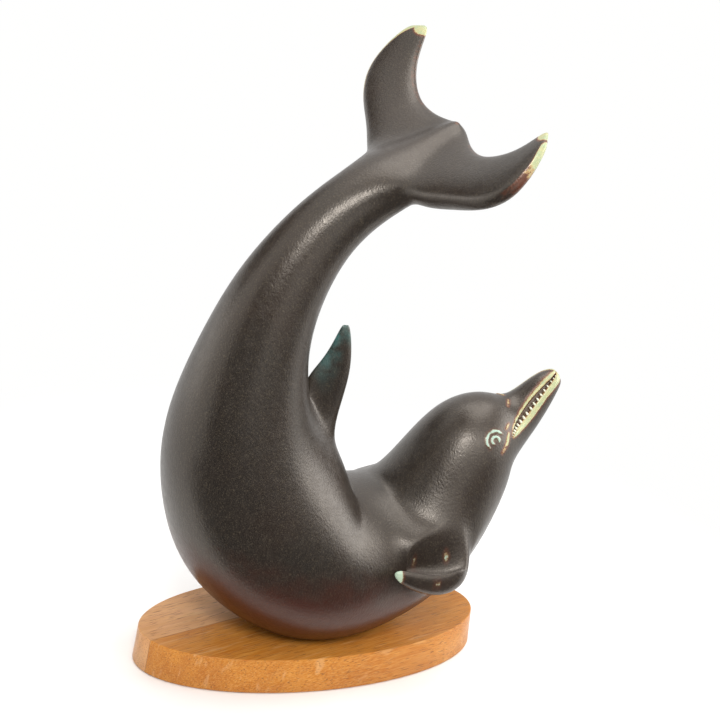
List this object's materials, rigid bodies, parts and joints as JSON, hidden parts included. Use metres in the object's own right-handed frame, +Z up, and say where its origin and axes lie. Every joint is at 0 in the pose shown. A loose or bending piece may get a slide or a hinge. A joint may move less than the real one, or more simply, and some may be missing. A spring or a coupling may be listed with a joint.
{
  "type": "dolphin figurine",
  "caption": "Glazed stoneware dolphin arching head up and tail up, with its belly fixed to an oval oak plinth that stands on a shelf",
  "frame": {"origin": "under the middle of the plinth, on the surface that it stands on", "axes": "+X runs along the plinth toward the dolphin's head, +Y across the plinth toward the dolphin's left flank, +Z up"},
  "size_m": [0.2259, 0.168, 0.3303],
  "materials": {
    "stoneware_glaze": "satin brown-grey stoneware glaze that breaks to rust and pale cream green at thin edges",
    "oiled_oak": "oiled golden oak with open pores",
    "beech": "bare turned beech",
    "zinc_plated_steel": "zinc plated",
    "washer_steel": "zinc plated, dull"
  },
  "bodies": {
    "root": {"dolphin": "stoneware_glaze", "plinth": "oiled_oak", "belly_plug": "beech", "plinth_screw": "zinc_plated_steel", "screw_washer": "washer_steel"}
  },
  "joints": []
}
